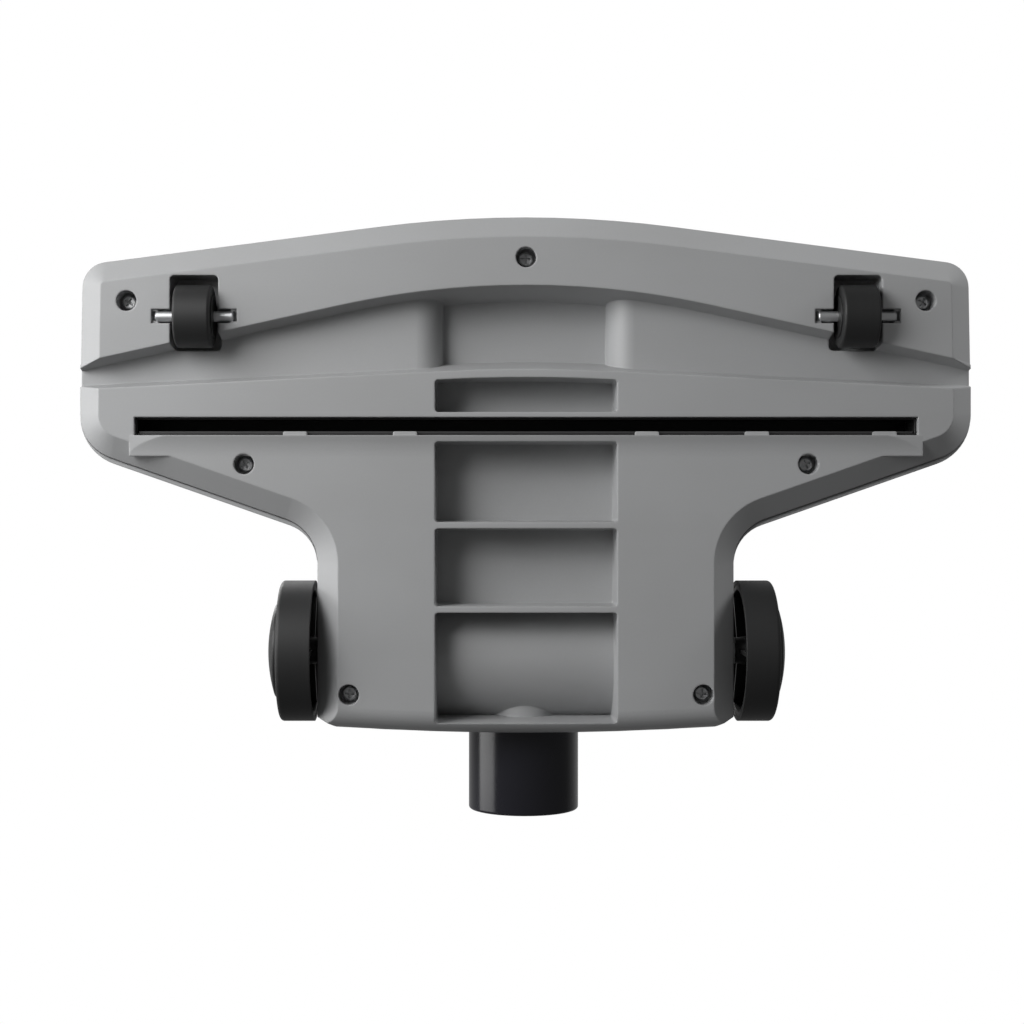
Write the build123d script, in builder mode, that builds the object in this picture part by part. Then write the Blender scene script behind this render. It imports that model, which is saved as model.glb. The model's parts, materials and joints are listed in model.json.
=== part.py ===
from build123d import *
from math import asin, cos, degrees, radians, sin, sqrt
import os

# Floor head of a wet and dry floor scrubber. +Z is up, the floor is z = 0 and the head's front
# faces -Y. The origin is on the floor, under the middle of the head's length and width.
# Plan positions are measured from a datum line across the head, a little ahead of the rear axles:
# negative is ahead of it, positive is behind.

os.makedirs("parts", exist_ok=True)

# ---- overall sizes
HEAD_WIDTH = 345.0        # across the head, nominal
FRONT_REACH = 167.2       # datum line to the crown of the front edge
NECK_REACH = 66.0         # datum line to the neck's mouth
SOLE_Z = 10.0             # flat underside above the floor
SPLIT_Z = 22.0            # top of the base plate's outer wall
COVER_TOP_Z = 43.0        # flat top of the cover
BEVEL = 8.4               # bevel round the underside, across the sole
BEVEL_RISE = 6.8          # and up the side
WALL = 2.5                # base plate and cover walls
DATUM_Y = (FRONT_REACH - NECK_REACH) / 2

# ---- fits
RUN_FIT = 0.06            # radial play of a turning fit
PUSH_FIT = 0.03           # radial play of a fixed fit
SEAT_GAP = 0.3            # gap between moulded pieces that only cover each other

# ---- rear wheels
WHEEL_BEHIND = 1.2        # axle behind the datum line
WHEEL_R = 27.5
WHEEL_WIDTH = 13.2
WHEEL_GAP = 1.5           # body side to the wheel's inner edge
WHEEL_SLACK = 1.0         # how far a wheel can slide along its axle
TYRE_WALL = 1.8
RIM_WALL = 1.8
WEB_T = 2.2
WEB_INSET = 2.0           # wheel's outer edge to its web
RIB_T = 1.5
RIB_COUNT = 3
AXLE_R = 3.0
HUB_BOSS_R = AXLE_R + 3.5
CLIP_R = AXLE_R + 2.4
CLIP_T = 0.8
CLIP_GROOVE = 0.7
HUBCAP_R = 18.5
HUBCAP_RIM = 2.0          # cap's straight side, beyond the wheel's edge
HUBCAP_DOME = 3.0
HUBCAP_WALL = 1.5
HUBCAP_ROUND = 1.2
TYRE_ROUND = 1.5
RIM_SET = 0.3             # rim's edges inside the tyre's
RIB_SET = 0.5             # ribs' edges inside the wheel's open side
HUB_PLAY = 0.5            # hub's end to the body's side
AXLE_TIP = 1.0            # axle beyond its clip
CLIP_PLAY = 0.1

# ---- front rollers
ROLLER_R = 12.0
ROLLER_WIDTH = 14.0
ROLLER_X = HEAD_WIDTH / 2 - 45.25
ROLLER_AHEAD = 38.9 - FRONT_REACH
ROLLER_CORE_R = 8.0
ROLLER_ROUND = 1.0
CORE_REACH = 0.5
PIN_R = 2.0
PIN_LENGTH = 30.0
WELL_SIDE = 2.3           # play beside the roller
WELL_FRONT = 3.7          # play ahead of the roller
WELL_REAR = 0.5
WELL_ROUND = 1.8
PIN_SLOT = 5.5            # width of the open slots that the pin lies in
PIN_SEAT = 2.5            # length of the snug seat at each pin end
PIN_MOUTH = 3.7           # opening that the pin snaps through
LIP_DEPTH = 1.1           # sole to the seat's lips
PIN_END_PLAY = 1.4
WELL_WALL = 2.0
WELL_PLAY = 1.5

# ---- neck
PIVOT_BEHIND = 3.0        # tilt axis behind the datum line
HOUSING_LOW_Z = 19.5      # lowest point of the housing's round
REST_TILT = 0.0           # the neck's rise when it lies back on its stop
TILT_TRAVEL = 80.0        # from lying back to its steepest
BARREL_R = 23.4
BARREL_WALL = 2.8
BARREL_HALF = 42.0
BEARING_WALL = 1.5
BEARING_WIDTH = 6.0
HOUSING_WALL = 2.0
HUMP_WALL = 2.0           # cover's hump over the housing
HOUSING_R = BARREL_R + RUN_FIT + BEARING_WALL + PUSH_FIT      # bore that holds the bearings
HOUSING_OUT_R = HOUSING_R + HOUSING_WALL
HUMP_R = HOUSING_OUT_R + SEAT_GAP + HUMP_WALL
PIVOT_Z = HOUSING_LOW_Z + HOUSING_OUT_R
SEAL_WIDTH = 2.0
SEAL_X = 33.0
SEAL_DEPTH = 1.3
THROAT_R = 14.0
THROAT_WALL = 1.6
WAND_R = 17.6             # socket for a 35 mm wand
TUBE_R = WAND_R + 4.4
TUBE_GAP = 0.5            # neck's housing to the start of the tube
SPIGOT_LENGTH = 3.5       # throat end inside the tube
SOCKET_DEPTH = 26.0
WAND_SEAL_WIDTH = 3.0
WAND_SEAL_DEPTH = 1.4
TUBE_ROUND = 1.0

# ---- front bar outline
CROWN_HALF = 57.0
CROWN_R = 445.0
FRONT_CORNER_R = 10.0
BAR_SIDE_FRONT = HEAD_WIDTH / 2 - 1.2
BAR_SIDE_REAR = HEAD_WIDTH / 2 - 0.5
BAR_REAR = 27.0 - FRONT_REACH                                 # crown of the bar's rear edge
BAR_REAR_HALF = 71.0
BAR_REAR_R = 330.0
BAR_REAR_SLOPE = 0.22

# ---- rear body outline
LAND_FRONT = 59.2 - FRONT_REACH                               # crown of the body's front edge
LAND_HALF = 31.0
LAND_R = 613.0
LAND_SLOPE = 0.05
SHOULDER_AHEAD = 90.8 - FRONT_REACH
SHOULDER_R = 19.4
WAIST_AHEAD = -WHEEL_R - 16.8
WAIST_R = 16.0
BODY_HALF = 80.7
TAIL_HALF = BODY_HALF - 7.6
TAIL_BOW = 2.3
TAIL_CORNER = PIVOT_BEHIND + HUMP_R - TAIL_BOW                # tail lies under the hump's rear
TAIL_SIDE = TAIL_CORNER - 3.9
TAIL_ROUND = 8.4          # round under the tail
RIM_STEP = 1.9            # base plate's diagonals inside the cover's
SIDE_STEP = 0.2           # base plate's ends and waist inside the cover's
SKIRT_GAP = 0.25          # base plate to the cover's skirt along its diagonals
SKIRT_Z = 18.0

# ---- recess between bar and body
RECESS_Z = 19.5
CHANNEL_Z = 30.0
CHANNEL_HALF = 32.0
CHANNEL_ROUND = 10.0
RECESS_DRAFT = 12.0       # lean of the recess's front and rear walls
RECESS_PAST = 16.0        # how far its cutting shape runs on past the head's sides

# ---- suction slot
SLOT_HALF = HEAD_WIDTH / 2 - 22.3
SLOT_FRONT = 77.6 - FRONT_REACH
SLOT_REAR = SLOT_FRONT + 7.0
SLOT_WALL = 1.9
LIP_DROP = 1.7            # rear lip of the slot below the sole
LIP_REACH = 8.0           # and how far behind the slot it runs out
LIP_RAMP = 14.0           # length over which its ends run out
TAB_WIDTH = 9.2
TAB_REACH = 1.5
TAB_INSET = 0.5           # tabs above the sole's face
TAB_T = 1.6
TABS_X = (-88.6, -46.4, 46.4, 88.6, SLOT_HALF - 12.6)
LINER_WALL = 0.7
LINER_PLAY = 0.1
LINER_TOP_Z = 25.0
LINER_Z = SOLE_Z + TAB_INSET + TAB_T + 0.3
FLANGE_T = 1.2
FLANGE_REACH = 1.6
WIPER_T = 0.8

# ---- pockets in the middle of the sole
POCKET_HALF = 35.0
POCKET_Z = 26.0
POCKET_WALL = 2.0
POCKET_CORNER = 1.3
POCKET_DRAFT = 2.0
POCKET_RIB = 2.4
BARREL_POCKET = (-14.6, TAIL_CORNER - 1.9)
RIB_LINE = (SLOT_REAR + BARREL_POCKET[0]) / 2 + 0.5           # rib between the two middle pockets
LAND_POCKET = (LAND_FRONT + 3.1, SLOT_FRONT - 1.9)            # pocket ahead of the slot
MIDDLE_POCKETS = ((SLOT_REAR + POCKET_RIB, RIB_LINE - POCKET_RIB / 2),
                  (RIB_LINE + POCKET_RIB / 2, BARREL_POCKET[0] - POCKET_RIB))
HOUSING_TOP_Z = COVER_TOP_Z - 5.0
HOUSING_LIP = 0.5         # housing's block ahead of the round it holds
ARCH_R = 13.4             # small arch under the neck's throat
ARCH_Z = PIVOT_Z - 4.7
ARCH_FRONT = 15.0

# ---- air duct
DUCT_RIM_Z = 31.0
GASKET_T = 1.0
DUCT_TOP_Z = 39.7
DUCT_WALL = 2.0
DUCT_MARGIN = 4.0         # duct round the slot
DUCT_FRONT = SLOT_FRONT - DUCT_MARGIN
DUCT_SLOT_REAR = SLOT_REAR + DUCT_MARGIN
DUCT_END_HALF = SLOT_HALF + DUCT_MARGIN
DUCT_FUNNEL_HALF = 97.0
DUCT_NECK_HALF = 58.0
DUCT_NECK_AHEAD = DUCT_SLOT_REAR + 28.6
DUCT_TAIL = TAIL_CORNER - 3.0

# ---- cover
COVER_ROUND = 9.0
COVER_INSET = 0.2
COVER_SLOT_PLAY = 1.2
HUMP_FOOT_Z = 30.0
HUMP_HALF = DUCT_NECK_HALF + 4.0
HUMP_ROUND = 4.0

# ---- axle towers and screws
TOWER_IN = 61.0
TOWER_HALF_LENGTH = 7.0
SCREW_HEAD_R = 2.85
SCREW_HEAD_T = 2.4
SCREW_SHANK_R = 1.7
SCREW_LENGTH = 17.0
SCREW_WELL_R = 3.95
SCREW_SEAT_Z = 18.4
CROSS_LENGTH = 3.6
CROSS_WIDTH = 0.8
CROSS_DEPTH = 1.5
BOSS_R = 6.0
COVER_BOSS_R = 4.2
FRONT_SCREWS = (HEAD_WIDTH / 2 - 19.3, 33.0 - FRONT_REACH)
MIDDLE_SCREWS = (HEAD_WIDTH / 2 - 64.3, SLOT_REAR + 11.0)
TAIL_SCREWS = (BODY_HALF - 12.7, TAIL_CORNER - 13.1)
CROWN_SCREW = (0.0, 16.3 - FRONT_REACH)
EAR_BOSS_R = 4.2
EAR_R = 5.2
FUNNEL_EARS = (DUCT_NECK_HALF + 4.4, DUCT_NECK_AHEAD + 16.0)
SLOT_EARS = (DUCT_END_HALF - 33.2, DUCT_SLOT_REAR + 4.6)
EAR_T = 2.5
EAR_SCREW_LENGTH = 12.0

# ---- sizes that follow
HOUSING_FRONT = PIVOT_BEHIND - HOUSING_OUT_R - HOUSING_LIP
HOUSING_REAR = TAIL_CORNER - 1.5                              # clear of the cover's rear wall
TUBE_START = HOUSING_OUT_R + TUBE_GAP                         # along the neck from the tilt axis
BLOCK_HALF = BARREL_HALF + 1.0
MOUTH = (NECK_REACH - PIVOT_BEHIND - TUBE_R * sin(radians(REST_TILT))) / cos(radians(REST_TILT))
WAND_SEAL_AT = MOUTH - 8.0
WHEEL_IN = BODY_HALF + WHEEL_GAP
WHEEL_OUT = WHEEL_IN + WHEEL_WIDTH
WEB_OUT = WHEEL_OUT - WEB_INSET
CLIP_IN = WEB_OUT + WHEEL_SLACK + CLIP_PLAY
CLIP_OUT = CLIP_IN + CLIP_T + CLIP_PLAY
CAVITY_Z = SOLE_Z + WALL
CAVITY_BEVEL = BEVEL - 1.3
CAVITY_RISE = BEVEL_RISE - 1.3
TOWER_OUT = BODY_HALF - WALL - SEAT_GAP
TOWER_LOW_OUT = BODY_HALF - SIDE_STEP - BEVEL
SCREW_SPOTS = [CROWN_SCREW] + [(side * x, behind) for side in (-1, 1)
                               for x, behind in (FRONT_SCREWS, MIDDLE_SCREWS, TAIL_SCREWS)]
EAR_SPOTS = [(side * x, behind) for side in (-1, 1) for x, behind in (SLOT_EARS, FUNNEL_EARS)]
TOWER_TOP_Z = WHEEL_R + AXLE_R + 4.0
SLOT_SPREAD = 54.0        # half angle of the neck's slot, seen from the tilt axis


# ---- planes and small helpers
def level(height):
    """Horizontal plane at a height, with its origin over the datum line."""
    return Plane(origin=(0, DATUM_Y, height), x_dir=(1, 0, 0), z_dir=(0, 0, 1))


def upright(x):
    """Vertical plane across X: local x runs to the rear, local y is height above the floor."""
    return Plane(origin=(x, DATUM_Y, 0), x_dir=(0, 1, 0), z_dir=(1, 0, 0))


def axle_half(side, behind, height):
    """Half-section of a part that turns about X: local x is outward, local y the radius."""
    return Plane(origin=(0, DATUM_Y + behind, height), x_dir=(side, 0, 0), z_dir=(0, -side, 0))


def turning_axis(behind, height):
    return Axis((0, DATUM_Y + behind, height), (1, 0, 0))


def neck_plane(along):
    """Plane across the neck at a distance from the tilt axis, facing its mouth."""
    tilt = radians(REST_TILT)
    return Plane(origin=(0, DATUM_Y + PIVOT_BEHIND + along * cos(tilt), PIVOT_Z + along * sin(tilt)),
                 x_dir=(1, 0, 0), z_dir=(0, cos(tilt), sin(tilt)))


def sag(half, radius):
    """Depth of a shallow arc from its crown to a half width."""
    return radius - sqrt(radius**2 - half**2)


def span(x_half, front, rear, mode=Mode.ADD):
    """Rectangle across the head between two distances from the datum line."""
    with Locations((0, (front + rear) / 2)):
        Rectangle(2 * x_half, rear - front, mode=mode)


def ring(outer, inner):
    Circle(outer)
    Circle(inner, mode=Mode.SUBTRACT)


def save(piece, name):
    piece.part.label = name
    export_step(piece.part, f"parts/{name}.step")


# ---- plan outlines, drawn as right halves and mirrored
def front_edge():
    """Crowned front edge from the middle to the side; returns the corner it ends at."""
    crown_end = (CROWN_HALF, -FRONT_REACH + sag(CROWN_HALF, CROWN_R))
    slope = CROWN_HALF / sqrt(CROWN_R**2 - CROWN_HALF**2)
    corner = (BAR_SIDE_FRONT, crown_end[1] + slope * (BAR_SIDE_FRONT - CROWN_HALF))
    TangentArc((0, -FRONT_REACH), crown_end, tangent=(1, 0))
    Line(crown_end, corner)
    return corner


def diagonal_at(x, step):
    """Where the diagonal between shoulder and waist passes x, set inwards by a step."""
    slope = (WAIST_AHEAD - SHOULDER_AHEAD) / (BODY_HALF - HEAD_WIDTH / 2)
    return SHOULDER_AHEAD + slope * (x - HEAD_WIDTH / 2) - step * sqrt(1 + slope**2)


def body_side(front_corner, end_step=0.0, step=0.0):
    """Shoulder, diagonal, waist and bowed tail, from the body's front corner to the middle."""
    side, waist = front_corner[0], BODY_HALF - end_step
    tail_corner = (TAIL_HALF - end_step, TAIL_CORNER)
    Polyline(front_corner, (side, diagonal_at(side, step)), (waist, diagonal_at(waist, step)),
             (waist, TAIL_SIDE), tail_corner)
    TangentArc((0, TAIL_CORNER + TAIL_BOW), tail_corner, tangent=(1, 0))


def round_corners(outline, ahead, radius):
    """Round the corners that lie a given distance from the datum line."""
    fillet([v for v in outline.vertices() if abs(v.Y - ahead) < 0.2], radius=radius)


def round_body(outline, end_step=0.0, step=0.0):
    round_corners(outline, diagonal_at(HEAD_WIDTH / 2 - end_step, step), SHOULDER_R - step)
    round_corners(outline, diagonal_at(BODY_HALF - end_step, step), WAIST_R + step)


def bar_outline(inset=0.0):
    with BuildSketch() as outline:
        with BuildLine():
            corner = front_edge()
            arc_end = (BAR_REAR_HALF, BAR_REAR + sag(BAR_REAR_HALF, BAR_REAR_R))
            reach = BAR_SIDE_REAR - BAR_REAR_HALF
            Polyline(corner, (BAR_SIDE_REAR, arc_end[1] + BAR_REAR_SLOPE * reach), arc_end)
            TangentArc((0, BAR_REAR), arc_end, tangent=(1, 0))
            mirror(about=Plane.YZ)
        make_face()
        round_corners(outline, corner[1], FRONT_CORNER_R)
        if inset:
            offset(amount=-inset, kind=Kind.INTERSECTION)
    return outline.sketch


def body_outline(inset=0.0, end_step=0.0, step=0.0):
    """Rear body's outline, its ends and diagonals set in by steps, then all of it by an inset."""
    side = HEAD_WIDTH / 2 - end_step
    with BuildSketch() as outline:
        with BuildLine():
            arc_end = (LAND_HALF, LAND_FRONT + sag(LAND_HALF, LAND_R))
            TangentArc((0, LAND_FRONT), arc_end, tangent=(1, 0))
            corner = (side, arc_end[1] + LAND_SLOPE * (side - LAND_HALF))
            Line(arc_end, corner)
            body_side(corner, end_step, step)
            mirror(about=Plane.YZ)
        make_face()
        round_body(outline, end_step, step)
        if inset:
            offset(amount=-inset, kind=Kind.INTERSECTION)
    return outline.sketch


def sole_outline(inset=0.0):
    """Base plate's rear body, a little inside the cover."""
    return body_outline(inset, SIDE_STEP, RIM_STEP)


def recess_outline():
    """From the bar's rear edge to the body's front edge, carried on past the head's sides."""
    far = HEAD_WIDTH / 2 + RECESS_PAST
    with BuildSketch() as outline:
        with BuildLine():
            bar_end = (BAR_REAR_HALF, BAR_REAR + sag(BAR_REAR_HALF, BAR_REAR_R))
            land_end = (LAND_HALF, LAND_FRONT + sag(LAND_HALF, LAND_R))
            TangentArc((0, BAR_REAR), bar_end, tangent=(1, 0))
            Polyline(bar_end, (far, bar_end[1] + BAR_REAR_SLOPE * (far - BAR_REAR_HALF)),
                     (far, land_end[1] + LAND_SLOPE * (far - LAND_HALF)), land_end)
            TangentArc((0, LAND_FRONT), land_end, tangent=(1, 0))
            mirror(about=Plane.YZ)
        make_face()
    return outline.sketch


def cover_outline(inset=0.0, end_step=0.0, step=0.0):
    """Whole head's outline: the bar's front and sides run on into the body's."""
    side = HEAD_WIDTH / 2 - end_step
    with BuildSketch() as outline:
        with BuildLine():
            corner = front_edge()
            Line(corner, (side, LAND_FRONT))
            body_side((side, LAND_FRONT), end_step, step)
            mirror(about=Plane.YZ)
        make_face()
        round_corners(outline, corner[1], FRONT_CORNER_R)
        round_body(outline, end_step, step)
        if inset:
            offset(amount=-inset, kind=Kind.INTERSECTION)
    return outline.sketch


def duct_outline(inset=0.0):
    """Air duct in plan: the length of the slot, funnelled to the neck's housing."""
    with BuildSketch() as outline:
        with BuildLine():
            Polyline((0, DUCT_FRONT), (DUCT_END_HALF, DUCT_FRONT), (DUCT_END_HALF, DUCT_SLOT_REAR),
                     (DUCT_FUNNEL_HALF, DUCT_SLOT_REAR), (DUCT_NECK_HALF, DUCT_NECK_AHEAD),
                     (DUCT_NECK_HALF, DUCT_TAIL), (0, DUCT_TAIL))
            mirror(about=Plane.YZ)
        make_face()
        if inset:
            offset(amount=-inset, kind=Kind.INTERSECTION)
    return outline.sketch


def bevelled_block(outline, bottom, top, bevel, rise, bevelled, tail_round=0.0):
    """Upright block, bevelled along those lower edges that the test picks, and rounded at its tail."""
    with BuildPart() as block:
        with BuildSketch(level(bottom)):
            add(outline)
        extrude(amount=top - bottom)
        floor = block.faces().sort_by(Axis.Z)[0]
        chamfer(floor.edges().filter_by(bevelled), length=bevel, length2=rise, reference=floor)
        if tail_round:
            rim = block.faces().sort_by(Axis.Z)[0].edges()
            fillet(rim.filter_by(on_tail), radius=tail_round)
    return block.part


def on_bar_front(edge):
    """The bar's front, corners and sides, but not its rear wall."""
    middle = edge.center()
    return middle.Y - DATUM_Y < BAR_REAR - 1 or abs(middle.X) > HEAD_WIDTH / 2 - FRONT_CORNER_R


def on_tail(edge):
    """The body's bowed tail and the short corners beside it."""
    return edge.center().Y - DATUM_Y > TAIL_SIDE - WALL


def on_body_side(edge):
    """The body's sides and diagonals, but neither its front edge nor its tail."""
    middle = edge.center()
    land_line = LAND_FRONT + LAND_SLOPE * abs(middle.X)
    return middle.Y - DATUM_Y > land_line + WALL + 1 and not on_tail(edge)


def on_body_edge(edge):
    return on_body_side(edge) or on_tail(edge)


def block(x_half, front, rear, bottom, top, centre_x=0.0, mode=Mode.ADD):
    """Block between two distances from the datum line and two heights, in the caller's part."""
    with BuildSketch(level(bottom)) as plan:
        with Locations((centre_x, (front + rear) / 2)):
            Rectangle(2 * x_half, rear - front)
    extrude(plan.sketch, amount=top - bottom, mode=mode)


def posts(spots, radius, bottom, top, mode=Mode.ADD):
    """Round posts, or holes, at several spots in plan."""
    with BuildSketch(level(bottom)) as plan:
        with Locations(*spots):
            Circle(radius)
    extrude(plan.sketch, amount=top - bottom, mode=mode)


def roll(radius, x_half, behind, height, mode=Mode.ADD, centre_x=0.0):
    """Cylinder lying across the head."""
    with BuildSketch(upright(centre_x)) as disc:
        with Locations((behind, height)):
            Circle(radius)
    extrude(disc.sketch, amount=x_half, both=True, mode=mode)


def neck_rod(radius, start, end, mode=Mode.ADD):
    """Cylinder along the neck's axis, between two distances from the tilt axis."""
    with BuildSketch(neck_plane(start)) as disc:
        Circle(radius)
    extrude(disc.sketch, amount=end - start, mode=mode)


def throat_sweep(half_width, lowest_z, mode=Mode.SUBTRACT):
    """Slot that the neck's throat tilts through, from its steepest to behind and below."""
    steepest = radians(REST_TILT + TILT_TRAVEL)
    spread = radians(SLOT_SPREAD)
    far = 90.0
    front = (PIVOT_BEHIND + far * cos(steepest + spread), PIVOT_Z + far * sin(steepest + spread))
    with BuildSketch(upright(0)) as wedge:
        with BuildLine():
            Polyline((PIVOT_BEHIND, PIVOT_Z), front, (far, front[1]), (far, lowest_z),
                     (PIVOT_BEHIND, lowest_z), close=True)
        make_face()
    extrude(wedge.sketch, amount=half_width, both=True, mode=mode)


def recess():
    """Space between the bar and the body: leaning walls, a shallow roof and a deep middle."""
    shoulder = CHANNEL_HALF + CHANNEL_ROUND
    bend = CHANNEL_ROUND * (1 - sqrt(0.5))
    with BuildPart() as space:
        with BuildSketch(level(SOLE_Z)):
            add(recess_outline())
        extrude(amount=CHANNEL_Z - SOLE_Z, taper=RECESS_DRAFT)
        with BuildSketch(Plane(origin=(0, DATUM_Y + RECESS_FRONT, 0), x_dir=(1, 0, 0),
                               z_dir=(0, -1, 0))):
            with BuildLine():
                Polyline((0, SOLE_Z), (HEAD_WIDTH, SOLE_Z), (HEAD_WIDTH, RECESS_Z),
                         (shoulder, RECESS_Z))
                ThreePointArc((shoulder, RECESS_Z), (CHANNEL_HALF + bend, RECESS_Z + bend),
                              (CHANNEL_HALF, RECESS_Z + CHANNEL_ROUND))
                Polyline((CHANNEL_HALF, RECESS_Z + CHANNEL_ROUND), (CHANNEL_HALF, CHANNEL_Z),
                         (0, CHANNEL_Z))
                mirror(about=Plane.YZ)
            make_face()
        extrude(amount=RECESS_FRONT - LAND_SIDE - WALL, mode=Mode.INTERSECT)
    return space.part


def slot_lip():
    """Lip along the slot's rear edge: it curves down from the sole and runs out at both ends."""
    far = SLOT_HALF + SLOT_WALL
    full = far - LIP_RAMP
    with BuildPart() as lip:
        with BuildSketch(upright(-far)):
            with BuildLine():
                tip = (SLOT_REAR, SOLE_Z - LIP_DROP)
                curve = TangentArc((SLOT_REAR + LIP_REACH, SOLE_Z), tip, tangent=(-1, 0))
                Polyline(curve @ 1, (SLOT_REAR, CAVITY_Z), (SLOT_REAR + LIP_REACH, CAVITY_Z),
                         curve @ 0)
            make_face()
        extrude(amount=2 * far)
        with BuildSketch(Plane(origin=(0, DATUM_Y + SLOT_REAR, 0), x_dir=(1, 0, 0),
                               z_dir=(0, -1, 0))):
            with BuildLine():
                Polyline((0, CAVITY_Z), (far, CAVITY_Z), (far, SOLE_Z), (full, SOLE_Z - LIP_DROP),
                         (0, SOLE_Z - LIP_DROP))
                mirror(about=Plane.YZ)
            make_face()
        extrude(amount=-LIP_REACH, mode=Mode.INTERSECT)
    return lip.part


def pocket(front, rear, bowed=False):
    """Rounded pocket cut up from the sole, a little narrower at its roof."""
    with BuildSketch(level(SOLE_Z)) as plan:
        span(POCKET_HALF, front, rear)
        if bowed:
            with Locations((0, front + LAND_R)):
                Circle(LAND_R, mode=Mode.INTERSECT)
        fillet(plan.vertices(), radius=POCKET_CORNER)
    extrude(plan.sketch, amount=POCKET_Z - SOLE_Z, taper=POCKET_DRAFT, mode=Mode.SUBTRACT)
    extrude(plan.sketch, amount=-LIP_DROP - 1, mode=Mode.SUBTRACT)


def barrel_pocket():
    """Rearmost pocket: its roof is the round of the neck's housing, with a small arch in it."""
    front, rear = BARREL_POCKET
    with BuildPart() as space:
        with BuildSketch(level(SOLE_Z)):
            with Locations((0, (front + rear) / 2)):
                RectangleRounded(2 * POCKET_HALF, rear - front, POCKET_CORNER)
        extrude(amount=HOUSING_TOP_Z - 1 - SOLE_Z, taper=POCKET_DRAFT)
        roll(HOUSING_OUT_R, POCKET_HALF + 1, PIVOT_BEHIND, PIVOT_Z, Mode.SUBTRACT)
        with BuildSketch(Plane(origin=(0, DATUM_Y + ARCH_FRONT, ARCH_Z), x_dir=(1, 0, 0),
                               z_dir=(0, 1, 0))):
            Circle(ARCH_R)
        extrude(amount=rear - ARCH_FRONT + 1, mode=Mode.SUBTRACT)
    return space.part


def roller_well(centre_x):
    """Well for one front roller, with the open slots that its steel pin snaps into."""
    front = ROLLER_AHEAD - ROLLER_R - WELL_FRONT
    rear = ROLLER_AHEAD + ROLLER_R + WELL_REAR
    roof = 2 * ROLLER_R + WELL_PLAY
    half = ROLLER_WIDTH / 2 + WELL_SIDE
    slot_half = PIN_LENGTH / 2 + PIN_END_PLAY
    block(half + WELL_WALL, front - WELL_WALL, rear + WELL_WALL, CAVITY_Z, roof + WELL_WALL,
          centre_x)
    block(slot_half + WELL_WALL, ROLLER_AHEAD - PIN_SLOT, ROLLER_AHEAD + PIN_SLOT, CAVITY_Z,
          ROLLER_R + PIN_SLOT, centre_x)
    with BuildSketch(level(SOLE_Z)) as plan:
        with Locations((centre_x, (front + rear) / 2)):
            RectangleRounded(2 * half, rear - front, WELL_ROUND)
    extrude(plan.sketch, amount=roof - SOLE_Z, mode=Mode.SUBTRACT)
    relief = PIN_SLOT / 2
    roll(relief, slot_half - PIN_SEAT, ROLLER_AHEAD, ROLLER_R, Mode.SUBTRACT, centre_x)
    block(slot_half - PIN_SEAT, ROLLER_AHEAD - relief, ROLLER_AHEAD + relief, SOLE_Z, ROLLER_R,
          centre_x, Mode.SUBTRACT)
    block(slot_half, ROLLER_AHEAD - relief, ROLLER_AHEAD + relief, SOLE_Z, SOLE_Z + LIP_DEPTH,
          centre_x, Mode.SUBTRACT)
    roll(PIN_R + PUSH_FIT, slot_half, ROLLER_AHEAD, ROLLER_R, Mode.SUBTRACT, centre_x)
    block(slot_half, ROLLER_AHEAD - PIN_MOUTH / 2, ROLLER_AHEAD + PIN_MOUTH / 2, SOLE_Z, ROLLER_R,
          centre_x, Mode.SUBTRACT)


def arch(radius, x_half, foot_z, round_r=0.0):
    """Barrel across the head over the tilt axis, with a foot ahead of it."""
    with BuildPart() as hump:
        with BuildSketch(upright(-x_half)) as end:
            with Locations((PIVOT_BEHIND, PIVOT_Z)):
                Circle(radius)
                Rectangle(radius, radius, align=(Align.MAX, Align.MAX))
            with Locations((PIVOT_BEHIND, foot_z)):
                Rectangle(2 * radius, radius, align=(Align.CENTER, Align.MAX), mode=Mode.SUBTRACT)
        extrude(amount=2 * x_half)
        if round_r:
            ends = hump.faces().sort_by(Axis.X)
            rims = ends[0].edges() + ends[-1].edges()
            fillet(rims.filter_by(lambda edge: edge.center().Z > foot_z + 1), radius=round_r)
    return hump.part


def lid(inset, top, round_r):
    """Solid that fills the cover's outline up to a rounded top."""
    with BuildPart() as solid:
        with BuildSketch(level(SPLIT_Z + SEAT_GAP)):
            add(cover_outline(inset))
        extrude(amount=top - SPLIT_Z - SEAT_GAP)
        fillet(solid.faces().sort_by(Axis.Z)[-1].edges(), radius=round_r)
    return solid.part


# ---- base plate: the grey sole with its bar, recess, pockets, slot, wells and towers
RECESS_FRONT = BAR_REAR - WALL
LAND_SIDE = LAND_FRONT + sag(LAND_HALF, LAND_R) + LAND_SLOPE * (HEAD_WIDTH / 2 - LAND_HALF)


with BuildPart() as filling:
    # between bar and body, bevelled at the head's sides: the recess is cut from it
    add(bevelled_block(cover_outline(0, SIDE_STEP, RIM_STEP), SOLE_Z, SPLIT_Z, BEVEL, BEVEL_RISE,
                       lambda edge: True))
    with BuildSketch(level(SOLE_Z)):
        add(recess_outline())
    extrude(amount=SPLIT_Z - SOLE_Z, mode=Mode.INTERSECT)

bar = bevelled_block(bar_outline(), SOLE_Z, SPLIT_Z, BEVEL, BEVEL_RISE, on_bar_front)
body = bevelled_block(sole_outline(), SOLE_Z, SPLIT_Z, BEVEL, BEVEL_RISE, on_body_side,
                      TAIL_ROUND)
bar_cavity = bevelled_block(bar_outline(WALL), CAVITY_Z, SPLIT_Z, CAVITY_BEVEL, CAVITY_RISE,
                            on_bar_front)
body_cavity = bevelled_block(sole_outline(WALL), CAVITY_Z, SPLIT_Z, CAVITY_BEVEL, CAVITY_RISE,
                             on_body_edge)

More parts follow.
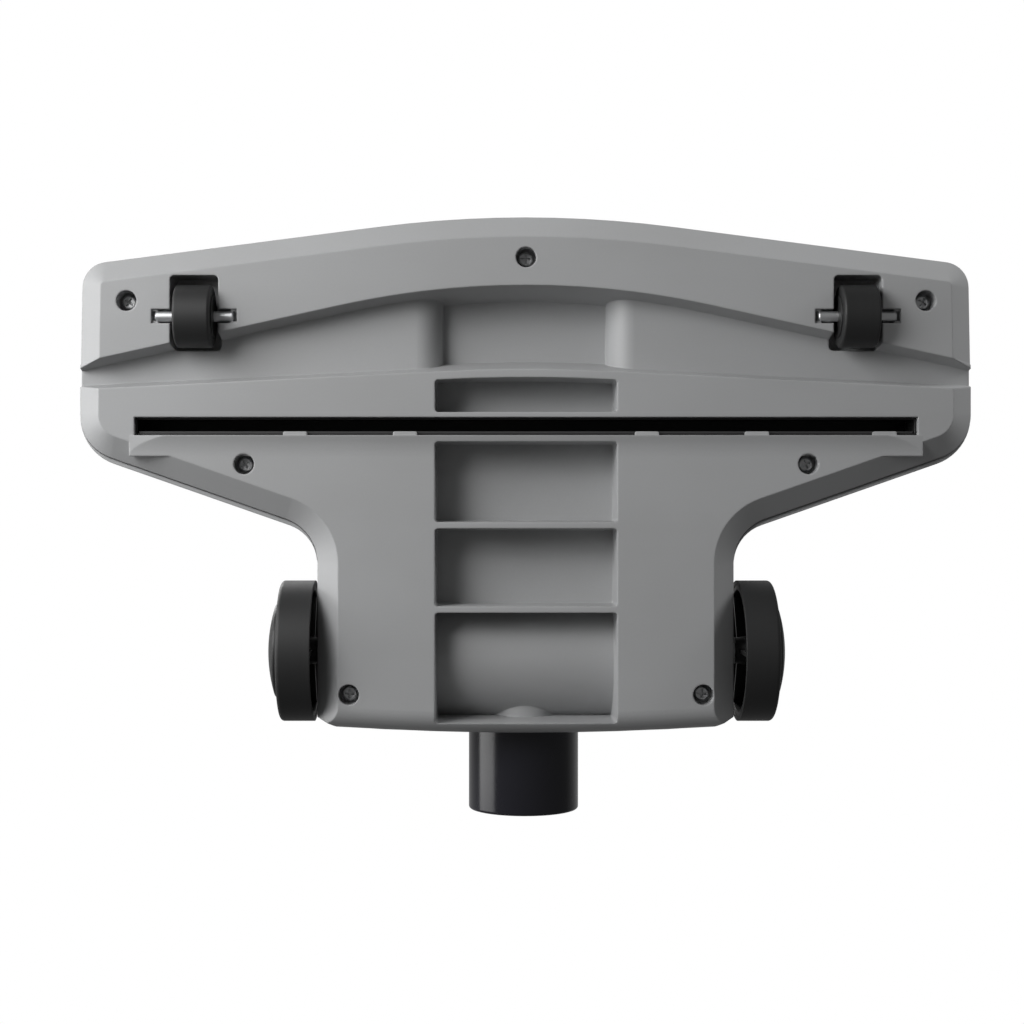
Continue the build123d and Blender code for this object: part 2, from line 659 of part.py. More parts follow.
with BuildPart() as base_plate:
    add(bar)
    add(body)
    add(bar_cavity, mode=Mode.SUBTRACT)
    add(body_cavity, mode=Mode.SUBTRACT)

    # the recess's filling, its roof, and a thick step for its deeper middle
    add(filling)
    with BuildSketch(level(RECESS_Z)):
        add(cover_outline(0, SIDE_STEP, RIM_STEP))
        span(HEAD_WIDTH, RECESS_FRONT, LAND_SIDE + WALL, mode=Mode.INTERSECT)
    extrude(amount=SPLIT_Z - RECESS_Z)
    step_half = CHANNEL_HALF + CHANNEL_ROUND + WALL
    block(step_half, RECESS_FRONT, LAND_FRONT + WALL, RECESS_Z, CHANNEL_Z + WALL)

    # slot walls and the duct's lower wall
    block(SLOT_HALF + SLOT_WALL, SLOT_FRONT - SLOT_WALL, SLOT_REAR + SLOT_WALL, CAVITY_Z, SPLIT_Z)
    with BuildSketch(level(CAVITY_Z)):
        add(duct_outline())
        add(duct_outline(DUCT_WALL), mode=Mode.SUBTRACT)
    extrude(amount=DUCT_RIM_Z - CAVITY_Z)

    # pocket walls and the neck's housing
    for front, rear in (LAND_POCKET,) + MIDDLE_POCKETS:
        block(POCKET_HALF + POCKET_WALL, front - POCKET_WALL, rear + POCKET_WALL,
              CAVITY_Z, POCKET_Z + POCKET_WALL)
    block(BLOCK_HALF, HOUSING_FRONT, HOUSING_REAR, CAVITY_Z, HOUSING_TOP_Z)
    block(BLOCK_HALF, HOUSING_REAR - WALL, HOUSING_REAR + 1, SOLE_Z + BEVEL_RISE, SPLIT_Z)
    add(slot_lip())
    pocket(*LAND_POCKET, bowed=True)
    for front, rear in MIDDLE_POCKETS:
        pocket(front, rear)
    add(barrel_pocket(), mode=Mode.SUBTRACT)
    roll(HOUSING_R, BLOCK_HALF + 1, PIVOT_BEHIND, PIVOT_Z, mode=Mode.SUBTRACT)
    neck_rod(THROAT_R + SEAT_GAP, 0, TUBE_START + 5, mode=Mode.SUBTRACT)

    # suction slot with its tabs
    block(SLOT_HALF, SLOT_FRONT, SLOT_REAR, SOLE_Z, SPLIT_Z + 20, mode=Mode.SUBTRACT)
    with BuildSketch(level(SOLE_Z + TAB_INSET)):
        with Locations(*[(x, SLOT_REAR - TAB_REACH / 2) for x in TABS_X]):
            RectangleRounded(TAB_WIDTH, TAB_REACH, TAB_REACH / 2.2)
        with Locations(*[(x, SLOT_REAR - TAB_REACH / 4) for x in TABS_X]):
            Rectangle(TAB_WIDTH, TAB_REACH / 2)
    extrude(amount=TAB_T)

    # roller wells with open slots for their pins
    for side in (-1, 1):
        roller_well(side * ROLLER_X)

    add(recess(), mode=Mode.SUBTRACT)

    # axle towers, their tops kept inside the cover
    high_half = (TOWER_OUT - TOWER_IN) / 2
    front, rear = WHEEL_BEHIND - TOWER_HALF_LENGTH, WHEEL_BEHIND + TOWER_HALF_LENGTH
    with BuildPart() as tower_tops:
        for side in (-1, 1):
            block(high_half, front, rear, SPLIT_Z + SEAT_GAP, TOWER_TOP_Z,
                  centre_x=side * (TOWER_IN + high_half))
        add(lid(COVER_INSET + WALL + SEAT_GAP, COVER_TOP_Z - WALL - SEAT_GAP,
                COVER_ROUND - WALL - SEAT_GAP), mode=Mode.INTERSECT)
    add(tower_tops.part)
    for side in (-1, 1):
        low_half = (TOWER_LOW_OUT - TOWER_IN) / 2
        block(low_half, front, rear, CAVITY_Z, SOLE_Z + BEVEL_RISE,
              centre_x=side * (TOWER_IN + low_half))
        block(high_half, front, rear, SOLE_Z + BEVEL_RISE, SPLIT_Z + SEAT_GAP,
              centre_x=side * (TOWER_IN + high_half))
        roll(AXLE_R + PUSH_FIT, high_half + 3, WHEEL_BEHIND, WHEEL_R, Mode.SUBTRACT,
             centre_x=side * (TOWER_IN + high_half))

    # screw bosses
    posts(SCREW_SPOTS, BOSS_R, CAVITY_Z - 1, SPLIT_Z)
    posts(SCREW_SPOTS, SCREW_WELL_R, SOLE_Z, SCREW_SEAT_Z, mode=Mode.SUBTRACT)
    posts(SCREW_SPOTS, SCREW_SHANK_R + 0.2, SCREW_SEAT_Z, SPLIT_Z, mode=Mode.SUBTRACT)
    posts(EAR_SPOTS, EAR_BOSS_R, CAVITY_Z - 1, DUCT_RIM_Z + GASKET_T)
    posts(EAR_SPOTS, SCREW_SHANK_R + PUSH_FIT, CAVITY_Z + 4, DUCT_RIM_Z + GASKET_T,
          mode=Mode.SUBTRACT)
save(base_plate, "base_plate")

# ---- top cover: shell over the whole head, with a hump over the neck's barrel
with BuildPart() as top_cover:
    add(lid(COVER_INSET, COVER_TOP_Z, COVER_ROUND))
    add(arch(HUMP_R, HUMP_HALF, HUMP_FOOT_Z, HUMP_ROUND))
    add(lid(COVER_INSET + WALL, COVER_TOP_Z - WALL, COVER_ROUND - WALL), mode=Mode.SUBTRACT)
    add(arch(HUMP_R - HUMP_WALL, HUMP_HALF - HUMP_WALL, HUMP_FOOT_Z + HUMP_WALL),
        mode=Mode.SUBTRACT)
    # room for the corners of the neck's housing
    block(BLOCK_HALF + SEAT_GAP, HOUSING_FRONT - SEAT_GAP, HOUSING_REAR + SEAT_GAP, SPLIT_Z,
          HOUSING_TOP_Z + SEAT_GAP, mode=Mode.SUBTRACT)
    # skirt that stands out along the body's diagonals
    with BuildSketch(level(SKIRT_Z)):
        add(body_outline())
        add(sole_outline(-SKIRT_GAP), mode=Mode.SUBTRACT)
    extrude(amount=SPLIT_Z + SEAT_GAP - SKIRT_Z)
    # bosses for the screws that come up through the base plate
    posts(SCREW_SPOTS, COVER_BOSS_R, SPLIT_Z + SEAT_GAP, COVER_TOP_Z - WALL)
    posts(SCREW_SPOTS, SCREW_SHANK_R + PUSH_FIT, SPLIT_Z + SEAT_GAP,
          SCREW_SEAT_Z + SCREW_LENGTH + 1, mode=Mode.SUBTRACT)
    throat_sweep(TUBE_R + COVER_SLOT_PLAY, SPLIT_Z)
    for side in (-1, 1):
        roll(AXLE_R + SEAT_GAP, HEAD_WIDTH / 4, WHEEL_BEHIND, WHEEL_R, Mode.SUBTRACT,
             side * HEAD_WIDTH / 3)
save(top_cover, "top_cover")


# ---- air duct: black upper half over the slot, its gasket, and its screws' ears
with BuildPart() as duct_cover:
    with BuildSketch(level(DUCT_RIM_Z + GASKET_T)):
        add(duct_outline())
    extrude(amount=DUCT_TOP_Z - DUCT_RIM_Z - GASKET_T)
    with BuildSketch(level(DUCT_RIM_Z + GASKET_T)):
        with Locations(*EAR_SPOTS):
            Circle(EAR_R)
    extrude(amount=EAR_T)
    roll(HOUSING_OUT_R, DUCT_NECK_HALF, PIVOT_BEHIND, PIVOT_Z)
    block(HEAD_WIDTH, -FRONT_REACH, NECK_REACH, 0, DUCT_RIM_Z + GASKET_T, mode=Mode.SUBTRACT)
    with BuildSketch(level(DUCT_RIM_Z + GASKET_T)):
        add(duct_outline(DUCT_WALL))
        span(BLOCK_HALF + SEAT_GAP, HOUSING_FRONT - SEAT_GAP, NECK_REACH, mode=Mode.SUBTRACT)
    extrude(amount=DUCT_TOP_Z - DUCT_WALL - DUCT_RIM_Z - GASKET_T, mode=Mode.SUBTRACT)
    roll(HOUSING_R, DUCT_NECK_HALF - DUCT_WALL, PIVOT_BEHIND, PIVOT_Z, Mode.SUBTRACT)
    block(BLOCK_HALF + SEAT_GAP, HOUSING_FRONT - SEAT_GAP, NECK_REACH, SOLE_Z,
          HOUSING_TOP_Z + SEAT_GAP, mode=Mode.SUBTRACT)
    throat_sweep(THROAT_R + COVER_SLOT_PLAY, SPLIT_Z)
    posts(EAR_SPOTS, SCREW_SHANK_R + PUSH_FIT, DUCT_RIM_Z, DUCT_TOP_Z, mode=Mode.SUBTRACT)
save(duct_cover, "duct_cover")

with BuildPart() as duct_gasket:
    with BuildSketch(level(DUCT_RIM_Z)):
        add(duct_outline())
        add(duct_outline(DUCT_WALL), mode=Mode.SUBTRACT)
        span(BLOCK_HALF + SEAT_GAP, HOUSING_FRONT - SEAT_GAP, NECK_REACH, mode=Mode.SUBTRACT)
    extrude(amount=GASKET_T)
save(duct_gasket, "duct_gasket")


# ---- slot liner, and the rubber wiper that the tabs keep in
with BuildPart() as slot_liner:
    outer_front, outer_rear = SLOT_FRONT + LINER_PLAY, SLOT_REAR - LINER_PLAY
    half = SLOT_HALF - LINER_PLAY
    block(half, outer_front, outer_rear, LINER_Z, LINER_TOP_Z)
    block(half + FLANGE_REACH, outer_front - FLANGE_REACH, outer_rear + FLANGE_REACH,
          SPLIT_Z, SPLIT_Z + FLANGE_T)
    block(POCKET_HALF + POCKET_WALL + SEAT_GAP, outer_front - 2 * FLANGE_REACH, outer_front,
          SPLIT_Z, SPLIT_Z + FLANGE_T, mode=Mode.SUBTRACT)
    block(POCKET_HALF + POCKET_WALL + SEAT_GAP, outer_rear, outer_rear + 2 * FLANGE_REACH,
          SPLIT_Z, SPLIT_Z + FLANGE_T, mode=Mode.SUBTRACT)
    block(half - LINER_WALL, outer_front + LINER_WALL, outer_rear - LINER_WALL,
          LINER_Z, LINER_TOP_Z, mode=Mode.SUBTRACT)
save(slot_liner, "slot_liner")

with BuildPart() as wiper_strip:
    wiper_rear = SLOT_REAR - LINER_PLAY - LINER_WALL
    block(SLOT_HALF - LINER_PLAY - 2 * LINER_WALL, wiper_rear - WIPER_T, wiper_rear,
          LINER_Z, SPLIT_Z)
save(wiper_strip, "wiper_strip")


# ---- neck: barrel with its throat, the tube that takes the wand, and their seals
with BuildPart() as neck_barrel:
    roll(BARREL_R, BARREL_HALF, PIVOT_BEHIND, PIVOT_Z)
    neck_rod(THROAT_R, 0, TUBE_START + SPIGOT_LENGTH)
    roll(BARREL_R - BARREL_WALL, BARREL_HALF + 1, PIVOT_BEHIND, PIVOT_Z, Mode.SUBTRACT)
    neck_rod(THROAT_R - THROAT_WALL, 0, TUBE_START + SPIGOT_LENGTH, Mode.SUBTRACT)
    for side in (-1, 1):
        with BuildSketch(upright(side * SEAL_X)) as groove:
            with Locations((PIVOT_BEHIND, PIVOT_Z)):
                ring(BARREL_R + 1, BARREL_R - SEAL_DEPTH)
        extrude(groove.sketch, amount=SEAL_WIDTH / 2, both=True, mode=Mode.SUBTRACT)
save(neck_barrel, "neck_barrel")

with BuildPart() as neck_tube:
    neck_rod(TUBE_R, TUBE_START, MOUTH)
    fillet(neck_tube.edges().filter_by(GeomType.CIRCLE).sort_by(Axis.Y)[0], radius=TUBE_ROUND)
    fillet(neck_tube.edges().filter_by(GeomType.CIRCLE).sort_by(Axis.Y)[-1], radius=TUBE_ROUND)
    neck_rod(THROAT_R + PUSH_FIT, TUBE_START - 1, TUBE_START + SPIGOT_LENGTH, Mode.SUBTRACT)
    neck_rod(THROAT_R - THROAT_WALL, TUBE_START, MOUTH, Mode.SUBTRACT)
    neck_rod(WAND_R, MOUTH - SOCKET_DEPTH, MOUTH, Mode.SUBTRACT)
    neck_rod(WAND_R + WAND_SEAL_DEPTH, WAND_SEAL_AT, WAND_SEAL_AT + WAND_SEAL_WIDTH, Mode.SUBTRACT)
save(neck_tube, "neck_tube")

with BuildPart() as wand_seal:
    with BuildSketch(neck_plane(WAND_SEAL_AT)):
        ring(WAND_R + WAND_SEAL_DEPTH, WAND_R + RUN_FIT)
    extrude(amount=WAND_SEAL_WIDTH)
save(wand_seal, "wand_seal")

for name, side in (("left", -1), ("right", 1)):
    with BuildPart() as neck_bearing:
        with BuildSketch(upright(side * (BARREL_HALF - BEARING_WIDTH / 2 - 0.5))):
            with Locations((PIVOT_BEHIND, PIVOT_Z)):
                ring(HOUSING_R - PUSH_FIT, BARREL_R + RUN_FIT)
        extrude(amount=BEARING_WIDTH / 2, both=True)
    save(neck_bearing, f"{name}_neck_bearing")

    with BuildPart() as neck_seal:
        with BuildSketch(upright(side * SEAL_X)):
            with Locations((PIVOT_BEHIND, PIVOT_Z)):
                ring(HOUSING_R - RUN_FIT, BARREL_R - SEAL_DEPTH)
        extrude(amount=SEAL_WIDTH / 2 - 0.05, both=True)
    save(neck_seal, f"{name}_neck_seal")


# ---- rear wheels: stub axle, clip, hub with ribs, tyre and domed cap on each side
# The left wheel stands pushed in against the body, the right one slid out against its clip.
for name, side, slid in (("left", -1, 0.0), ("right", 1, WHEEL_SLACK)):
    wheel_axis = turning_axis(WHEEL_BEHIND, WHEEL_R)
    half_section = axle_half(side, WHEEL_BEHIND, WHEEL_R)
    wheel_in, wheel_out, web_out = WHEEL_IN + slid, WHEEL_OUT + slid, WEB_OUT + slid

    with BuildPart() as wheel_axle:
        neck_r = AXLE_R - CLIP_GROOVE
        with BuildSketch(half_section):
            with BuildLine():
                Polyline((TOWER_IN, 0), (TOWER_IN, AXLE_R), (CLIP_IN, AXLE_R),
                         (CLIP_IN, neck_r), (CLIP_OUT, neck_r), (CLIP_OUT, AXLE_R),
                         (CLIP_OUT + AXLE_TIP, AXLE_R - 0.3), (CLIP_OUT + AXLE_TIP, 0), close=True)
            make_face()
        revolve(axis=wheel_axis)
    save(wheel_axle, f"{name}_wheel_axle")

    with BuildPart() as axle_clip:
        with BuildSketch(Plane(origin=(side * (CLIP_IN + CLIP_PLAY / 2), DATUM_Y + WHEEL_BEHIND,
                                       WHEEL_R), x_dir=(0, 1, 0), z_dir=(side, 0, 0))):
            ring(CLIP_R, neck_r + PUSH_FIT)
            with Locations((0, CLIP_R)):
                Rectangle(2 * neck_r - 0.8, 2 * CLIP_R, mode=Mode.SUBTRACT)
        extrude(amount=CLIP_T)
    save(axle_clip, f"{name}_axle_clip")

    with BuildPart() as wheel_hub:
        rim_r = WHEEL_R - TYRE_WALL
        bore_r = AXLE_R + RUN_FIT
        web_in = web_out - WEB_T
        boss_in = BODY_HALF + HUB_PLAY + slid
        rim_in, rim_out = wheel_in + RIM_SET, wheel_out - RIM_SET
        with BuildSketch(half_section):
            with BuildLine():
                Polyline((boss_in, bore_r), (boss_in, HUB_BOSS_R - 1.5), (web_in, HUB_BOSS_R),
                         (web_in, rim_r - RIM_WALL), (rim_in, rim_r - RIM_WALL), (rim_in, rim_r),
                         (rim_out, rim_r), (rim_out, rim_r - RIM_WALL),
                         (web_out, rim_r - RIM_WALL), (web_out, bore_r), close=True)
            make_face()
        revolve(axis=wheel_axis)
        rib_in = wheel_in + RIB_SET
        with BuildSketch(Plane(origin=(side * rib_in, DATUM_Y + WHEEL_BEHIND, WHEEL_R),
                               x_dir=(0, 1, 0), z_dir=(side, 0, 0))):
            rib_start, rib_end = HUB_BOSS_R - 2, rim_r - RIM_WALL / 2
            with PolarLocations((rib_start + rib_end) / 2, RIB_COUNT, start_angle=-90 * side):
                Rectangle(rib_end - rib_start, RIB_T)
        extrude(amount=web_in - rib_in + WEB_T / 2)
    save(wheel_hub, f"{name}_wheel_hub")

    with BuildPart() as wheel_tyre:
        with BuildSketch(half_section) as section:
            with Locations(((wheel_in + wheel_out) / 2, WHEEL_R - TYRE_WALL / 2)):
                Rectangle(WHEEL_WIDTH, TYRE_WALL)
            tread = section.vertices().filter_by(lambda v: v.Y > WHEEL_R - 0.1)
            fillet(tread.sort_by(Axis.X)[-1], radius=TYRE_ROUND)
            fillet(tread.sort_by(Axis.X)[0], radius=TYRE_ROUND / 3)
        revolve(axis=wheel_axis)
    save(wheel_tyre, f"{name}_wheel_tyre")

    with BuildPart() as hubcap:
        dome_start = wheel_out + HUBCAP_RIM
        seat_x = web_out + PUSH_FIT
        inner_r = HUBCAP_R - HUBCAP_WALL
        dome_r = (HUBCAP_R**2 + HUBCAP_DOME**2) / (2 * HUBCAP_DOME)
        with BuildSketch(half_section):
            with BuildLine():
                centre = (dome_start + HUBCAP_DOME - dome_r, 0)
                dome = CenterArc(centre, dome_r, 0, degrees(asin(HUBCAP_R / dome_r)))
                hollow_r = dome_r - HUBCAP_WALL
                hollow = CenterArc(centre, hollow_r, 0, degrees(asin(inner_r / hollow_r)))
                Line(dome @ 0, hollow @ 0)
                Polyline(hollow @ 1, (seat_x, inner_r), (seat_x, HUBCAP_R), dome @ 1)
            make_face()
        revolve(axis=wheel_axis)
        rim = hubcap.edges().filter_by(GeomType.CIRCLE).sort_by(lambda edge: abs(edge.center().X))
        outer = [edge for edge in rim if abs(edge.radius - HUBCAP_R) < 0.01]
        fillet(outer[-1], radius=HUBCAP_ROUND)
    save(hubcap, f"{name}_hubcap")


# ---- front rollers: steel pin, core and rubber tread on each side
for name, side in (("left", -1), ("right", 1)):
    roller_plane = Plane(origin=(side * ROLLER_X, DATUM_Y + ROLLER_AHEAD, ROLLER_R),
                         x_dir=(side, 0, 0), z_dir=(0, -side, 0))
    roller_axis = turning_axis(ROLLER_AHEAD, ROLLER_R)

    with BuildPart() as roller_pin:
        with BuildSketch(upright(side * ROLLER_X)):
            with Locations((ROLLER_AHEAD, ROLLER_R)):
                Circle(PIN_R)
        extrude(amount=PIN_LENGTH / 2, both=True)
        chamfer(roller_pin.edges().filter_by(GeomType.CIRCLE), length=0.4)
    save(roller_pin, f"{name}_roller_pin")

    with BuildPart() as roller_core:
        with BuildSketch(roller_plane):
            with Locations((0, (PIN_R + RUN_FIT + ROLLER_CORE_R) / 2)):
                Rectangle(ROLLER_WIDTH + 2 * CORE_REACH, ROLLER_CORE_R - PIN_R - RUN_FIT)
        revolve(axis=roller_axis)
    save(roller_core, f"{name}_roller_core")

    with BuildPart() as roller_tread:
        with BuildSketch(roller_plane) as section:
            with Locations((0, (ROLLER_CORE_R + ROLLER_R) / 2)):
                Rectangle(ROLLER_WIDTH, ROLLER_R - ROLLER_CORE_R)
            fillet(section.vertices().group_by(Axis.Y)[-1], radius=ROLLER_ROUND)
        revolve(axis=roller_axis)
    save(roller_tread, f"{name}_roller_tread")


# ---- screws: one group holds the head together, the other holds the duct down
def screw(length):
    """Pan-head screw with a cross recess, standing on its head at the origin, point up."""
    with BuildPart() as one:
        Cylinder(SCREW_HEAD_R, SCREW_HEAD_T, align=(Align.CENTER, Align.CENTER, Align.MAX))
        fillet(one.edges().filter_by(GeomType.CIRCLE).sort_by(Axis.Z)[0], radius=0.8)
        Cylinder(SCREW_SHANK_R, length, align=(Align.CENTER, Align.CENTER, Align.MIN))
        chamfer(one.edges().filter_by(GeomType.CIRCLE).sort_by(Axis.Z)[-1], length=0.8)
        with BuildSketch(Plane.XY.offset(-SCREW_HEAD_T)):
            Rectangle(CROSS_LENGTH, CROSS_WIDTH)
            Rectangle(CROSS_WIDTH, CROSS_LENGTH)
        extrude(amount=CROSS_DEPTH, mode=Mode.SUBTRACT)
    return one.part


with BuildPart() as cover_screws:
    for index, (x, behind) in enumerate(SCREW_SPOTS):
        spot = Plane(origin=(x, DATUM_Y + behind, SCREW_SEAT_Z)).rotated((0, 0, 31 * index))
        add(screw(SCREW_LENGTH).moved(Location(spot)))
save(cover_screws, "cover_screws")

with BuildPart() as duct_screws:
    for x, behind in EAR_SPOTS:
        seat = Plane(origin=(x, DATUM_Y + behind, DUCT_RIM_Z + GASKET_T + EAR_T), z_dir=(0, 0, -1))
        add(screw(EAR_SCREW_LENGTH).moved(Location(seat)))
save(duct_screws, "duct_screws")
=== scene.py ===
import json

import bpy
from mathutils import Matrix, Vector

# Underside view of a floor head that stands on its wheels: the camera lies below the floor and
# looks straight up at the sole. Everything is in metres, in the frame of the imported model.

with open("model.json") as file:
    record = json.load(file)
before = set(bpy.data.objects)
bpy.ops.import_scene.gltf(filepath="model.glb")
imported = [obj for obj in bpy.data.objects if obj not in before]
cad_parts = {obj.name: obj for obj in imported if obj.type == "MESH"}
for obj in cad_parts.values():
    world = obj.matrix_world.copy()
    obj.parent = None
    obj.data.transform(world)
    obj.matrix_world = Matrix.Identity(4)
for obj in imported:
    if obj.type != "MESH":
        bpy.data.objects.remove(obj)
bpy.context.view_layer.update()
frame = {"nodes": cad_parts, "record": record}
nodes = frame["nodes"]

WHITE = (1.0, 1.0, 1.0, 1.0)
FLOOR_HALF = 3.0                          # half the floor's side
CAMERA_PLACE = (-0.0195, -0.0026, -0.67)
CAMERA_LENS = 62.4                        # in mm, on a sensor 36 mm wide
CAMERA_SHIFT = 0.036                      # sideways shift of the picture
HEAD_MIDDLE = (0.0, 0.0, 0.02)            # where the lamps point


# ---- shader maths
class Value:
    """One output of a shader node. Python's operators on it add Math nodes."""

    def __init__(self, graph, socket):
        self.graph = graph
        self.socket = socket

    def math(self, operation, *values):
        return self.graph.add("ShaderNodeMath", {"operation": operation}, list(values))

    def __add__(self, other):
        return self.math("ADD", self, other)

    def __radd__(self, other):
        return self.math("ADD", other, self)

    def __sub__(self, other):
        return self.math("SUBTRACT", self, other)

    def __rsub__(self, other):
        return self.math("SUBTRACT", other, self)

    def __mul__(self, other):
        return self.math("MULTIPLY", self, other)

    def __rmul__(self, other):
        return self.math("MULTIPLY", other, self)


class Graph:
    """Node tree of a material or of the world, emptied but for its output."""

    def __init__(self, owner, output):
        owner.use_nodes = True
        self.tree = owner.node_tree
        self.tree.nodes.clear()
        self.output = self.tree.nodes.new(output)

    def add(self, kind, settings=None, values=None, out=0):
        """Adds a node, with its settings first, then the values or links of its sockets."""
        node = self.tree.nodes.new(kind)
        for key, value in (settings or {}).items():
            setattr(node, key, value)
        pairs = values.items() if isinstance(values, dict) else enumerate(values or [])
        for key, value in pairs:
            if isinstance(value, Value):
                self.tree.links.new(value.socket, node.inputs[key])
            elif value is not None:
                node.inputs[key].default_value = value
        return Value(self, node.outputs[out])

    def show(self, shader):
        self.tree.links.new(shader.socket, self.output.inputs["Surface"])


class Finish(Graph):
    """A procedural material: its node tree, and the places that its patterns are laid out in."""

    def __init__(self, name):
        self.material = bpy.data.materials.new(name)
        super().__init__(self.material, "ShaderNodeOutputMaterial")
        self.place = self.add("ShaderNodeTexCoord", out="Object")

    def noise(self, scale, detail=3.0, place=None, roughness=0.5):
        """Noise from 0 to 1, with about one feature in every 1/scale metres."""
        values = {"Vector": place or self.place, "Scale": scale, "Detail": detail,
                  "Roughness": roughness}
        return self.add("ShaderNodeTexNoise", {}, values, out="Fac")

    def stretched(self, x, y, z):
        return self.add("ShaderNodeMapping", {}, {"Vector": self.place, "Scale": (x, y, z)})

    def between(self, value, low, high, low_result=0.0, high_result=1.0):
        """Value carried smoothly from one range to another, and held at its ends."""
        settings = {"interpolation_type": "SMOOTHSTEP", "clamp": True}
        return self.add("ShaderNodeMapRange", settings,
                        [value, low, high, low_result, high_result])

    def mixed(self, factor, first, second):
        """Colour between two colours."""
        settings = {"data_type": "RGBA", "clamp_factor": True}
        return self.add("ShaderNodeMix", settings, {0: factor, 6: first, 7: second}, out=2)

    def eased_edges(self, radius):
        """Normal that rolls over edges as a mould's small radius does, and a mask of those edges."""
        rolled = self.add("ShaderNodeBevel", {"samples": 6}, {"Radius": radius})
        plain = self.add("ShaderNodeNewGeometry", out="Normal")
        along = self.add("ShaderNodeVectorMath", {"operation": "DOT_PRODUCT"}, [rolled, plain],
                         out="Value")
        return rolled, self.between(along, 0.985, 0.86)

    def surface(self, colour, roughness, height, normal, grain, **fixed):
        """Principled surface with bump of a given grain height in metres."""
        bump = self.add("ShaderNodeBump", {}, {"Height": height, "Normal": normal,
                                               "Distance": grain, "Strength": 1.0})
        values = {"Base Color": colour, "Roughness": roughness, "Normal": bump}
        values.update(fixed)
        self.show(self.add("ShaderNodeBsdfPrincipled", {}, values))
        return self.material


def grey(level, tint=0.0):
    """Neutral colour, a little cooler with a positive tint."""
    return (level * (1 - tint), level, level * (1 + tint), 1.0)


# ---- finishes
def moulded_grey(name, level):
    """Satin grey plastic with a fine spark-eroded grain, slightly polished edges (lower roughness)
    and a painted highlight that lightens the colour along every edge.
    """
    finish = Finish(name)
    rolled, edge_highlight_mask = finish.eased_edges(0.0009)
    clouds = finish.noise(14.0, 4.0)
    flow = finish.noise(9.0, 3.0, finish.stretched(1.0, 5.0, 1.0))
    speckle = finish.noise(1400.0, 2.0)
    shade = 0.5 * clouds + 0.3 * flow + 0.2 * speckle
    body = finish.mixed(finish.between(shade, 0.3, 0.7), grey(level * 0.955, 0.008),
                        grey(level * 1.045, 0.013))
    # painted highlight: the colour is mixed towards a paler grey along every edge, as if the edges
    # caught the light
    colour = finish.mixed(edge_highlight_mask * 0.25, body, grey(min(level * 1.25, 0.8), 0.004))
    scuffs = finish.noise(60.0, 5.0, finish.stretched(1.0, 8.0, 1.0), 0.7)
    roughness = 0.44 + 0.06 * speckle + 0.05 * clouds - 0.06 * finish.between(scuffs, 0.58, 0.75)
    grain = finish.noise(2600.0, 2.0) + 0.35 * finish.noise(700.0, 2.0)
    return finish.surface(colour, roughness - 0.05 * edge_highlight_mask, grain, rolled, 0.00002)


def moulded_black(name, level, rough):
    """Satin black plastic with a painted highlight: its colour is paler along every edge."""
    finish = Finish(name)
    rolled, edge_highlight_mask = finish.eased_edges(0.0005)
    clouds = finish.noise(25.0, 4.0)
    speckle = finish.noise(1600.0, 2.0)
    body = finish.mixed(clouds, grey(level * 0.8, 0.01), grey(level * 1.25, 0.02))
    # painted highlight: the colour is mixed towards a paler grey along every edge, as if the edges
    # caught the light
    colour = finish.mixed(edge_highlight_mask * 0.3, body, grey(level * 2.5, 0.02))
    roughness = rough + 0.08 * speckle + 0.06 * clouds
    grain = finish.noise(2200.0, 2.0)
    return finish.surface(colour, roughness, grain, rolled, 0.000015)


def glossy_black(name):
    """Polished black plastic with faint hairlines along the tube."""
    finish = Finish(name)
    rolled, _ = finish.eased_edges(0.0005)
    clouds = finish.noise(18.0, 3.0)
    hairlines = finish.noise(160.0, 4.0, finish.stretched(1.0, 0.12, 1.0), 0.7)
    colour = finish.mixed(clouds, (0.010, 0.010, 0.014, 1.0), (0.016, 0.016, 0.021, 1.0))
    roughness = 0.16 + 0.06 * clouds + 0.08 * finish.between(hairlines, 0.55, 0.8)
    grain = 0.6 * finish.noise(90.0, 2.0) + 0.4 * hairlines
    return finish.surface(colour, roughness, grain, rolled, 0.00001)


def rubber(name, level):
    """Dull black rubber with fine moulding rings across the axle."""
    finish = Finish(name)
    rolled, _ = finish.eased_edges(0.0004)
    clouds = finish.noise(40.0, 4.0)
    rings = finish.noise(900.0, 3.0, finish.stretched(1.0, 0.05, 0.05))
    colour = finish.mixed(0.6 * clouds + 0.4 * rings, grey(level * 0.8, 0.01),
                          grey(level * 1.3, 0.015))
    roughness = 0.5 + 0.1 * clouds + 0.06 * rings
    return finish.surface(colour, roughness, rings + 0.5 * finish.noise(1500.0, 2.0), rolled,
                          0.00002)


def steel(name, level, rough):
    """Bright steel, drawn along the pins and axles, with faint stains."""
    finish = Finish(name)
    rolled, _ = finish.eased_edges(0.0002)
    drawn = finish.noise(1500.0, 4.0, finish.stretched(0.05, 1.0, 1.0), 0.6)
    stain = finish.noise(120.0, 4.0)
    colour = finish.mixed(stain, grey(level * 0.85, 0.01), grey(level * 1.1, 0.01))
    roughness = rough + 0.12 * drawn + 0.08 * stain
    return finish.surface(colour, roughness, drawn, rolled, 0.00001, Metallic=1.0)


def bearing_white(name):
    """Slippery off-white bearing plastic."""
    finish = Finish(name)
    rolled, _ = finish.eased_edges(0.0003)
    clouds = finish.noise(40.0, 3.0)
    colour = finish.mixed(clouds, (0.68, 0.67, 0.62, 1.0), (0.76, 0.75, 0.71, 1.0))
    return finish.surface(colour, 0.35 + 0.1 * clouds, finish.noise(1500.0, 2.0), rolled, 0.00001)


